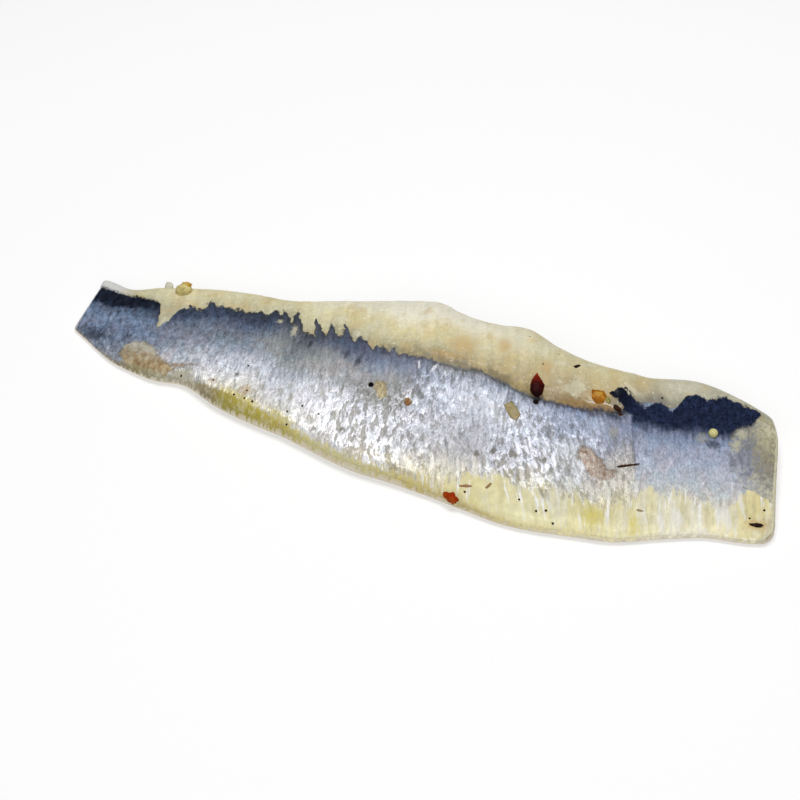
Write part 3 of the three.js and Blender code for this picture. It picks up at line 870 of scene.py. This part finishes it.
# %% Flesh
def flesh_colour(fish):
    """Bare flesh of the back: cream, and darker towards the skin, partly as painted shade at the foot of the
    ridge.
    """
    above = fish.times("below", -1.0)
    height = fish.jitter(above, "rag", 5.0, "drift", 8.0)
    flesh = fish.wash(fish.ramp(height, FLESH), fish.ramp(height, RIGHT_FLESH), "fish_x", 10, 38)
    flesh = fish.wash(flesh, fish.ramp(height, HEAD_FLESH), "fish_x", 56, 64)
    flesh = fish.wash(flesh, "#E0DBB8", "fish_x", -4, -36, 0.4)
    flesh = fish.wash(flesh, "#CDB57C", "warmth", 0.5, 0.68, 0.4)
    flesh = fish.wash(flesh, "#DAD7BE", "warmth", 0.46, 0.32, 0.5)
    flesh = fish.vary(flesh, "layers", 0.95, 1.04, 0.34, 0.66)
    flesh = fish.vary(flesh, "rag", 0.94, 1.05)
    flesh = fish.vary(flesh, "fibre", 0.96, 1.04)
    flesh = wet_foot(fish, flesh, above)
    # Tiny pale specks on the flesh are painted wet highlights.
    flesh = fish.wash(flesh, "#F0ECDA", "pores", 0.68, 0.74, 0.5)
    tail_lip = fish.jitter("fish_x", "torn", 6.0, "rag", 3.0)
    return fish.wash(flesh, "#CFCFCE", tail_lip, -75, -80, 0.9)


def wet_foot(fish, flesh, above):
    """The foot of the flesh by the skin: a grey painted shade, a wet brown line and a painted highlight of
    oil.
    """
    foot = fish.jitter(above, "torn", 1.6, "rag", 0.6)
    # Grey painted shade at the foot of the flesh towards the head, where it rises from the skin.
    foot_shade = fish.fit(fish.jitter(foot, "drift", 4.0), 5.0, 0.6)
    foot_shade = fish.times(foot_shade, fish.fit("fish_x", 47, 53), fish.fit("fish_x", 70, 62), 0.75)
    flesh = fish.mix(foot_shade, flesh, "#7E7A70")
    wet = fish.fit(fish.times(foot, fish.fit("fish_x", 40, 48, 1.7, 0.8)), 1.5, 0.3)
    wet = fish.times(wet, fish.fit("fish_x", 34, 43), fish.fit("fish_x", 56, 52), 0.75)
    flesh = fish.mix(wet, flesh, "#A88450")
    # A thin pale line above the foot is a painted highlight of wet oil.
    glint = fish.jitter(fish.math("SUBTRACT", above, 0.9), "torn", 0.8)
    glint = fish.fit(fish.math("ABSOLUTE", glint), 0.22, 0.08)
    glint = fish.times(glint, fish.fit("fish_x", 44, 47), fish.fit("fish_x", 55, 52), 0.6)
    return fish.mix(glint, flesh, "#E6E0D2")


def inner_colour(fish):
    """The cut side: pale flesh in folded layers, brown along the middle, thin over the belly."""
    away = fish.math("ABSOLUTE", "from_line")
    folded = fish.math("MULTIPLY_ADD", fish.math("PINGPONG", away, 7.0), 0.9, "fish_x")
    layer = fish.math("PINGPONG", fish.jitter(folded, "torn", 2.4), 1.7)
    flesh = fish.wash("#CDBBA0", "#DCCFB6", "blot", 0.35, 0.65)
    flesh = fish.wash(flesh, "#D2B69C", "drift", 0.4, 0.6, 0.5)
    flesh = fish.wash(flesh, "#E9E1D0", layer, 0.3, 0.08, 0.6)
    flesh = fish.wash(flesh, "#D9D2C0", fish.jitter("from_line", "torn", 6.0), -9, -13, 0.7)
    flesh = fish.wash(flesh, "#8F6B52", fish.jitter(away, "rag", 3.0, "drift", 7.0), 4.2, 0.8, 0.5)
    return fish.vary(flesh, "fibre", 0.92, 1.07)


# %% Stains, the seam and the rubbed end
# Each stain is (colour, how much of it shows, how soft its rim is, how ragged its rim is).
STAIN_TONES = {
    "haze": ("#9B9C94", 0.42, 1.0, 3.0),
    "cloud": ("#A3A293", 0.55, 0.6, 3.0),
    "dark": ("#2E3440", 0.7, 0.6, 3.0),
    "spot": ("#67604F", 0.75, 0.5, 1.6),
    "golden": ("#D2C248", 0.55, 0.8, 3.0),
    "rust": ("#C09450", 0.42, 0.8, 3.0),
    "tan": ("#93795A", 0.8, 0.8, 3.0),
    "pale": ("#BDB9A2", 0.85, 0.8, 3.0),
}


def stained(fish, colour, *names):
    for name in names:
        tone, share, soft, ragged = STAIN_TONES[name]
        colour = fish.wash(colour, tone, fish.jitter(name, "rag", ragged), -soft / 2, soft, share)
    return colour


def dripped(fish, skin):
    """Pale drips of oily skin, whiter where they lie on silver."""
    white = fish.wash("#E4E2DA", "#F2F3FA", "yellow", -6, -12)
    return fish.wash(skin, white, fish.jitter("drip", "streak", 2.4), -0.1, 0.6, 0.7)


def rubbed_end(fish, skin):
    """Skin that is rubbed grey and olive by the head cut."""
    level = fish.jitter("fish_y", "torn", 22.0, "rag", 12.0)
    rim = fish.jitter("to_cut", "torn", 14.0, "rag", 6.0)
    grey = fish.wash(fish.ramp(level, RUBBED), fish.ramp(level, RUBBED_RIM), rim, 6.8, 4.2)
    grey = fish.vary(grey, "fine", 0.86, 1.14)
    grey = fish.vary(grey, "blot", 0.86, 1.12, 0.35, 0.65)
    return fish.wash(skin, grey, fish.jitter("rubbed", "torn", 7.0), -0.6, 0.6)


def seam_crease_shade(fish, skin):
    # A thin dark line along the seam is painted shade in the crease where the skin lies over itself.
    line = fish.fit(fish.math("ABSOLUTE", past_seam(fish)), 0.45, 0.1)
    return fish.mix(fish.times(line, fish.fit("fish_y", -15, -9), 0.5), skin, "#49526A")


# %% The torn border and the dark patches
def torn_border(fish, skin):
    """Skin with a painted shadow along its torn border, ragged near the tail, and the flesh past it."""
    tearing = fish.times(fish.fit("fish_x", -4, 12, 4.2, 1.1), fish.fit("fish_x", -67, -61, 0.3, 1))
    bare = fish.math("MULTIPLY_ADD", fish.math("SUBTRACT", "torn", 0.5), tearing,
                     fish.jitter("bare", "rag", 0.7))
    # The dark band just below the border is painted shadow under the step of the flesh.
    border = fish.times(fish.fit(bare, -1.5, -0.2), fish.fit("fish_x", 61, 57),
                        fish.fit("fish_x", -62, -54, 0, 0.55))
    skin = fish.mix(border, skin, "#34353A")
    is_bare = fish.fit(bare, -0.35, 0.4)
    return fish.mix(is_bare, skin, flesh_colour(fish)), is_bare


def dark_patches(fish, colour):
    """Dark patches by the head, which lie over skin and flesh alike."""
    torn_edge = fish.jitter("torn", "rag", 0.8)
    top = fish.fit(fish.jitter("navy_top", torn_edge, 3.8), -0.4, 0.4)
    fading = fish.fit("fish_x", 55, 61, 0.5, 3.4)
    foot = fish.fit(fish.jitter("navy_foot", torn_edge, 4.2), -0.4, fading)
    is_navy = fish.times(top, foot)
    navy = fish.wash("#13192B", "#2A3450", fish.jitter("fine", "blot", 0.7), 0.3, 0.75)
    navy = fish.wash(navy, "#0B0D14", "fish_x", 58, 53, 0.75)
    return fish.mix(is_navy, colour, navy), is_navy


# %% Scraps that cling flat
SCRAP_HIGH = {0.3: "#948C74", 0.5: "#B2AC98", 0.7: "#C4C0B2"}
SCRAP_LOW = {0.3: "#7C6644", 0.42: "#957B55", 0.55: "#AA936A", 0.7: "#BDAC86"}
SCAB = {0.3: "#76583E", 0.42: "#9A8270", 0.5: "#A99B90", 0.58: "#B5A596", 0.7: "#CBBFB4"}
SHRED = {0.34: "#8A785A", 0.5: "#B2A480", 0.66: "#C6B88E"}


def stuck_scraps(fish, colour):
    """Scraps of onion and torn skin, marbled, and brown at their rims."""
    marbled = fish.jitter("blot", "fine", 0.5)
    low_down = fish.jitter("fish_y", "torn", 9.0)
    scrap = fish.wash(fish.ramp(marbled, SCRAP_HIGH), fish.ramp(marbled, SCRAP_LOW), low_down, -7, -12.5)
    scraps = {
        "scrap": (scrap, "#8C8270"),
        "scab": (fish.ramp(marbled, SCAB), "#7A6250"),
        "shred": (fish.ramp(marbled, SHRED), "#94835E"),
    }
    for name, (tone, rim) in scraps.items():
        depth = fish.jitter(name, "torn", 3.0, "rag", 1.2)
        tone = fish.wash(tone, rim, depth, 0.8, 0.1, 0.55)
        colour = fish.wash(colour, tone, depth, -0.3, 0.5, 0.92)
    return colour


# %% Where the knife went
CUT_TONES = {-89: "#B4B9C2", 0: "#C4C4BC", 97: "#D8D4B6"}


def cut_sides(fish, colour):
    """The cut flank below the skin, the two cut faces with their muscle, and the underside."""
    flank = fish.vary(fish.ramp("fish_x", FLANK), "rag", 0.86, 1.14)
    flank = fish.wash(flank, "#D8D2B8", "blot", 0.48, 0.66, 0.5)
    is_flank = fish.fit(fish.jitter("flank", "rag", 3.0), -0.4, 0.5)
    muscle = fish.times(fish.fit("muscle", 0.44, 0.6), fish.fit("to_cut", 0.4, 0.1, 0, 0.55))
    cut = fish.mix(muscle, fish.ramp("fish_x", CUT_TONES), "#B79F80")
    is_cut = fish.fit(fish.jitter("to_cut", "rag", 1.6), 0.95, 0.6)
    colour = fish.mix(is_cut, fish.mix(is_flank, colour, flank), cut)
    colour = fish.mix("inside", colour, inner_colour(fish))
    return colour, fish.largest(is_flank, "inside", is_cut)


# %% [markdown]
# All layers come together from the bottom up: skin, stains, flesh, dark patches, scraps and cuts.

# %% The finish of the fish
OIL_FILM = {"Specular IOR Level": 0.0, "Coat Weight": 0.18, "Coat Roughness": 0.1, "Coat IOR": 1.47}
WRINKLE_DEPTH, GRAIN_DEPTH = 0.45, 0.06      # of the bump, in millimetres


def finish_fish():
    fish = Finish("oiled_herring")
    for name, (across_grain, with_grain, move, *texture) in NOISES.items():
        fish.named[name] = fish.noise(fish.grain(across_grain, with_grain, move), *texture)
    skin, bright = foil_texture(fish, skin_colour(fish))
    skin, is_yellow = belly_colour(fish, stained(fish, skin, "haze"))
    skin = rubbed_end(fish, dripped(fish, skin))
    skin = seam_crease_shade(fish, stained(fish, skin, "cloud", "dark", "spot"))
    colour, is_bare = torn_border(fish, skin)
    colour, is_navy = dark_patches(fish, colour)
    colour = stuck_scraps(fish, stained(fish, colour, "golden", "rust", "tan", "pale"))
    colour, is_cut_flesh = cut_sides(fish, colour)

    is_skin = fish.math("SUBTRACT", 1.0, fish.largest(is_bare, is_cut_flesh, is_navy))
    foil = fish.times(bright, is_skin, fish.fit(is_yellow, 0.0, 0.6, 0.3, 0.02))
    is_smooth = fish.largest(is_navy, is_bare, fish.fit("inside", 0, 0.1))
    wrinkles = fish.times("patch", fish.fit(is_smooth, 0, 1, 1, 0.15))
    fish.surface({
        "Base Color": colour,
        "Metallic": foil,
        "Roughness": fish.fit(bright, 0.0, 1.0, 0.24, 0.28),
        "Normal": fish.bump(wrinkles, WRINKLE_DEPTH, fish.bump("fine", GRAIN_DEPTH)),
        **OIL_FILM,
    })
    return fish.material


# %% [markdown]
# ## The fillet itself
# The sheet becomes a mesh in the frame, and the fields are stored on it for the finish to read.

# %% The fillet itself
def store_fields(mesh):
    """Writes the pattern's fields and the grain's own coordinates on a mesh in the frame."""
    spots = np.empty(len(mesh.vertices) * 3)
    mesh.vertices.foreach_get("co", spots)
    spots = spots.reshape(-1, 3) / MM - np.array(MOVE)
    across = np.empty(len(mesh.vertices))
    under = np.empty(len(mesh.vertices))
    mesh.attributes["share_across"].data.foreach_get("value", across)
    mesh.attributes["is_under"].data.foreach_get("value", under)
    x, y, z = spots.T
    for name, values in skin_fields(x, y, across, under > 0.5).items():
        mesh.attributes.new(name, "FLOAT", "POINT").data.foreach_set("value", values.astype(np.float32))
    grain = np.stack([grain_of(x, y), y - GRAIN_SQUARE * x, z], axis=-1)
    data = mesh.attributes.new("grain", "FLOAT_VECTOR", "POINT").data
    data.foreach_set("vector", grain.astype(np.float32).ravel())
    for name in MARKS:
        mesh.attributes.remove(mesh.attributes[name])


fillet = add_piece(fillet_sheet, "herring_fillet", finish_fish())
store_fields(fillet.data)

# %% [markdown]
# ## Spice bits
# Chilli, sweet pepper, onion, mustard and dried herb cling to the skin. A bit is either a lump,
# which is a ball stretched, drawn out and roughened, or a flake, which is a flat ball pulled out
# to a torn outline and draped over the fish. Both carry a tone, which the finish turns to colour.

# %% Shape bits
SIDE_POINTS = 12      # places on each side of a flake's outline


def tone_layer(shape):
    layers = shape.verts.layers.float
    return layers.get("tone") or layers.new("tone")


def lump(shape, at, size, turn=0.0, point=0.0, rough=0.1, buried=0.4, tone=0.5, tip=0.0, seed=1):
    """Adds an uneven ball that stands on the fillet. Its tone changes by tip towards its point."""
    tones = tone_layer(shape)
    ball = bmesh.ops.create_icosphere(shape, subdivisions=3, radius=1)["verts"]
    half = np.array(size) / 2
    for vert in ball:
        spot = vert.co.copy()
        taper = 1 - point * max(spot.y, 0) ** 1.5
        wobble = 1 + rough * float(hills(spot.x * 2 + seed, spot.y * 2 + 3 * spot.z, seed))
        vert[tones] = tone + tip * (spot.y + 1) / 2
        vert.co = Vector((spot.x * taper * half[0], spot.y * half[1], spot.z * half[2])) * wobble
    x, y = at
    reach = 0.8
    slope_x = float(surface_at(x + reach, y) - surface_at(x - reach, y)) / (2 * reach)
    slope_y = float(surface_at(x, y + reach) - surface_at(x, y - reach)) / (2 * reach)
    stand = Vector((0, 0, 1)).rotation_difference(Vector((-slope_x, -slope_y, 1))).to_matrix().to_4x4()
    height = float(surface_at(x, y)) + size[2] * (0.5 - buried)
    place = Matrix.Translation((x, y, height)) @ stand @ Matrix.Rotation(math.radians(turn), 4, "Z")
    bmesh.ops.transform(shape, matrix=place, verts=ball)


def flake(shape, outline, thick=0.5, tone=0.5, tip=0.0, rough=0.15, seed=1):
    """Adds a thin draped flake with a torn outline, given as points seen from above."""
    tones = tone_layer(shape)
    corners = np.array(outline, float)
    middle = corners.mean(axis=0)
    walk = np.linspace(0, 1, SIDE_POINTS, endpoint=False)[:, None]
    rim = np.concatenate([lerp(a, b, walk) for a, b in zip(corners, np.roll(corners, -1, axis=0))]) - middle
    angles = np.arctan2(rim[:, 1], rim[:, 0])
    order = np.argsort(angles)
    reaches = np.linalg.norm(rim, axis=1)[order]
    disc = bmesh.ops.create_icosphere(shape, subdivisions=4, radius=1)["verts"]
    for vert in disc:
        angle = math.atan2(vert.co.y, vert.co.x)
        torn = 1 + rough * float(hills(angle * 3, seed * 1.7, seed))
        reach = float(np.interp(angle, angles[order], reaches, period=2 * math.pi)) * torn
        out = math.hypot(vert.co.x, vert.co.y)
        x, y = middle[0] + vert.co.x * reach, middle[1] + vert.co.y * reach
        lift = thick * (0.6 * vert.co.z + 0.4 * float(hills(x / 1.1, y / 1.1, seed)) * (1 - out))
        vert[tones] = tone + tip * out ** 2 + 0.12 * float(hills(x / 0.9, y / 0.9, seed + 1))
        vert.co = Vector((x, y, float(surface_at(x, y)) + lift + 0.1))


def bit_finish(name, stops, roughness, coat):
    bit = Finish(name)
    patchy = bit.noise(bit.spot(), 4, 0.65)
    bit.surface({
        "Base Color": bit.ramp(bit.jitter("tone", patchy, 0.35), stops),
        "Normal": bit.bump(patchy, 0.3),
        "Roughness": roughness,
        "Specular IOR Level": 0.05,
        "Coat Weight": coat,
        "Coat Roughness": 0.1,
    })
    return bit.material


# %% [markdown]
# Tones run from dark to light within a kind of spice, so one finish serves a whole kind.

# %% Scatter bits
CHILLI_TONES = {0: "#180304", 0.3: "#360806", 0.55: "#862006", 0.75: "#A43A0A", 1: "#B46C28"}
PEPPER_TONES = {0: "#77702E", 0.36: "#D8D092", 0.6: "#C39A42", 0.8: "#A2640C", 1: "#7E4E14"}
SCRAP_TONES = {0: "#D6D4C0", 0.3: "#B2A084", 0.55: "#9C9068", 0.78: "#946A42", 1: "#4E2C14"}
HERB_TONES = {0: "#0A0808", 0.5: "#2A1710", 1: "#5C3A20"}
SEED_TONES = {0: "#B4AC66", 0.5: "#D2CC8C", 1: "#E4E0B4"}

SPECKS = [(26.8, 18.7), (32.9, 9.9), (35.2, 15.1), (-33.3, -16.3), (-30.6, -19.3), (-43, -14.4),
          (-21.2, -20.2), (-20.2, -23.2), (-18.3, -17.8), (-13.5, -19.4), (26.9, -30.4), (39.5, -28.9),
          (44.2, -30.9), (46.3, -30.2), (48.8, -32.9), (-61.4, -12.4), (-57.8, -12.6), (-74.6, 9.6),
          (40.6, 12.2), (-36.3, -8.2), (-35.9, -18.1), (-32.9, -18.8), (-52, -13.7), (62, 12.1),
          (90.3, -16.1), (92.9, -12.7), (34.7, -0.6)]

# Each piece is (kind, tones, bits). A bit with an outline is a flake, and the others are lumps.
BITS = {
    "chilli_bits": ("chilli", CHILLI_TONES, [
        dict(at=(33.5, 2.9), size=(3.5, 6.9, 1.6), turn=15, point=0.85, rough=0.14, tone=0.02, tip=0.6),
        dict(at=(24.2, -32.2), size=(3.3, 2.2, 1), turn=-15, rough=0.5, buried=0.2, tone=0.84,
             tip=-0.2, seed=14),
    ]),
    "pepper_bits": ("pepper", PEPPER_TONES, [
        dict(outline=[(46.2, 6.2), (46.8, 3.6), (48.2, 2.9), (50, 3.3), (50.3, 5.4), (49, 6.9)],
             thick=0.9, tone=0.72, tip=0.18, rough=0.06, seed=2),
        dict(at=(50.6, 4.6), size=(1.2, 2.2, 0.8), turn=30, tone=0.05, seed=3),
        dict(at=(-63.3, 15.4), size=(3, 2.2, 1.4), turn=-6, rough=0.25, buried=-0.85, tone=0.58, seed=12),
        dict(at=(-63.7, 14.5), size=(3.8, 3.4, 3.2), rough=0.25, buried=0.3, tone=0.42, seed=13),
    ]),
    "onion_scraps": ("pepper", SCRAP_TONES, [
        dict(outline=[(27.7, -4), (28.9, -2.3), (30.9, -4), (32.3, -5.6), (32.1, -7.5),
             (30.6, -7.5), (29, -5.9)], tone=0.5, tip=0.06, rough=0.05, seed=6),
        dict(at=(-68.4, 15.6), size=(2, 1.6, 2.4), rough=0.2, buried=0.3, tone=0.0, seed=13),
        dict(outline=[(4.7, -9.3), (5.5, -8.9), (6.7, -9.7), (6.5, -11), (5.6, -11.3), (4.8, -10.5)],
             thick=0.7, tone=0.76, tip=-0.1, rough=0.08, seed=7),
        dict(at=(26.6, -28.9), size=(3.4, 0.8, 0.3), turn=16, rough=0.3, tone=0.75, seed=16),
        dict(at=(31.6, -27.3), size=(0.7, 2, 0.4), turn=-20, rough=0.3, tone=0.7, seed=17),
        dict(at=(66.4, -22.9), size=(1.8, 0.6, 0.4), turn=5, rough=0.3, tone=0.6, seed=18),
    ]),
    "mustard_seed": ("mustard", SEED_TONES, [
        dict(at=(76.2, 5.5), size=(2.3, 2.3, 2.2), rough=0.01, buried=0.3, tone=0.5),
    ]),
    "herb_bits": ("herb", HERB_TONES, [
        dict(at=(92.3, -17.4), size=(3.2, 1.1, 0.8), turn=15, rough=0.4, tone=0.4, seed=5),
        dict(at=(60.4, -11.6), size=(5, 0.7, 0.7), turn=30, rough=0.3, tone=0.6, tip=0.2, seed=10),
        dict(at=(53, 3.6), size=(2.3, 1.1, 0.7), turn=-30, rough=0.7, tone=0.55, seed=3),
        dict(at=(54.5, 2.9), size=(1.3, 0.9, 0.6), turn=30, rough=0.6, tone=0.7, seed=4),
        dict(at=(-4.6, -7.6), size=(1.3, 1.3, 1.1), tone=0.0, seed=15),
        dict(at=(34.5, -0.8), size=(1.3, 1.3, 0.9), tone=0.1, seed=19),
        dict(at=(40.7, 12.2), size=(1.8, 1, 0.6), turn=42, rough=0.4, tone=0.1, seed=20),
        *[dict(at=at, size=(0.55, 0.5, 0.4), rough=0.3, tone=0.5, seed=n) for n, at in enumerate(SPECKS)],
    ]),
}

# How rough a kind of bit is, and how thick its film of oil.
OILY = (0.4, 0.12)
GLOSS = {"herb": (0.6, 0.03), "chilli": (0.5, 0.01)}

for piece_name, (slot_name, tones, bits) in BITS.items():
    bit_shape = bmesh.new()
    for values in bits:
        add_bit = flake if "outline" in values else lump
        add_bit(bit_shape, **values)
    bmesh.ops.recalc_face_normals(bit_shape, faces=bit_shape.faces)
    bits_finish = bit_finish(piece_name + "_finish", tones, *GLOSS.get(slot_name, OILY))
    add_piece(bit_shape, piece_name, bits_finish)

# %% [markdown]
# ## Board, light and camera
# The fillet lies on a plain white ground under soft boxes. The camera looks down at it from the
# side, turned a little towards the head end, through a long lens, as food is photographed. No
# light stands where the flat skin would mirror it to the camera, so the dark skin stays dark and
# only the tilted wrinkles of foil flash.

# %% The ground
GROUND_REACH = 4      # metres from its middle to an edge

ground_shape = bmesh.new()
bmesh.ops.create_grid(ground_shape, x_segments=1, y_segments=1, size=GROUND_REACH)
ground_mesh = bpy.data.meshes.new("ground")
ground_shape.to_mesh(ground_mesh)
ground_shape.free()
ground = add_object("ground", ground_mesh)
white_ground = Finish("white_ground")
white_ground.surface({
    "Base Color": (0.6, 0.6, 0.6, 1),
    "Roughness": 1.0,
    "Specular IOR Level": 0.0,
    "Emission Color": (1, 1, 1, 1),
    "Emission Strength": 0.405,
})
ground_mesh.materials.append(white_ground.material)
print("the ground reaches", GROUND_REACH, "m to each side")

# %% [markdown]
# One box hangs over the fillet and one stands in front of it. The room itself glows faintly, so that
# no shadow is black.

# %% Soft light
LIGHTS = [
    # name, place in metres, width, height, watts
    ("top_box", (0.0, 0.12, 0.75), 0.5, 0.4, 4.5),
    ("front_box", (0.15, -0.8, 0.6), 0.9, 0.5, 3.9),
]


def add_light(name, place, width, height, watts):
    lamp = bpy.data.lights.new(name, "AREA")
    lamp.shape = "RECTANGLE"
    lamp.size = width
    lamp.size_y = height
    lamp.energy = watts
    box = add_object(name, lamp)
    box.location = place
    box.rotation_euler = (-Vector(place)).to_track_quat("-Z", "Y").to_euler()


for light in LIGHTS:
    add_light(*light)

ROOM_GLOW = 0.09

world = bpy.data.worlds.new("dim_room")
world.use_nodes = True
background = world.node_tree.nodes["Background"]
background.inputs["Color"].default_value = (1, 1, 1, 1)
background.inputs["Strength"].default_value = ROOM_GLOW
bpy.context.scene.world = world
print("lit by", " and ".join(light[0] for light in LIGHTS))

# %% [markdown]
# The lens and the picture's scale together say how far away the camera stands.

# %% The camera
CAMERA_HEIGHT, CAMERA_TURN = math.radians(40), math.radians(20)
LENS, SENSOR = 100.0, 36.0
PHOTO_SIDE = 800      # pixels
PIXELS_PER_MM = 4.1

distance = PHOTO_SIDE * LENS / SENSOR / PIXELS_PER_MM
towards = Vector((math.sin(CAMERA_TURN) * math.cos(CAMERA_HEIGHT),
                  -math.cos(CAMERA_TURN) * math.cos(CAMERA_HEIGHT), math.sin(CAMERA_HEIGHT)))
lens = bpy.data.cameras.new("camera")
lens.lens = LENS
lens.sensor_width = SENSOR
camera = add_object("camera", lens)
camera.location = (MOVE + towards * distance) * MM
camera.rotation_euler = (-towards).to_track_quat("-Z", "Y").to_euler()
bpy.context.scene.camera = camera
bpy.context.scene.view_settings.view_transform = "Standard"
print("the camera is", round(distance), "mm from the fillet")
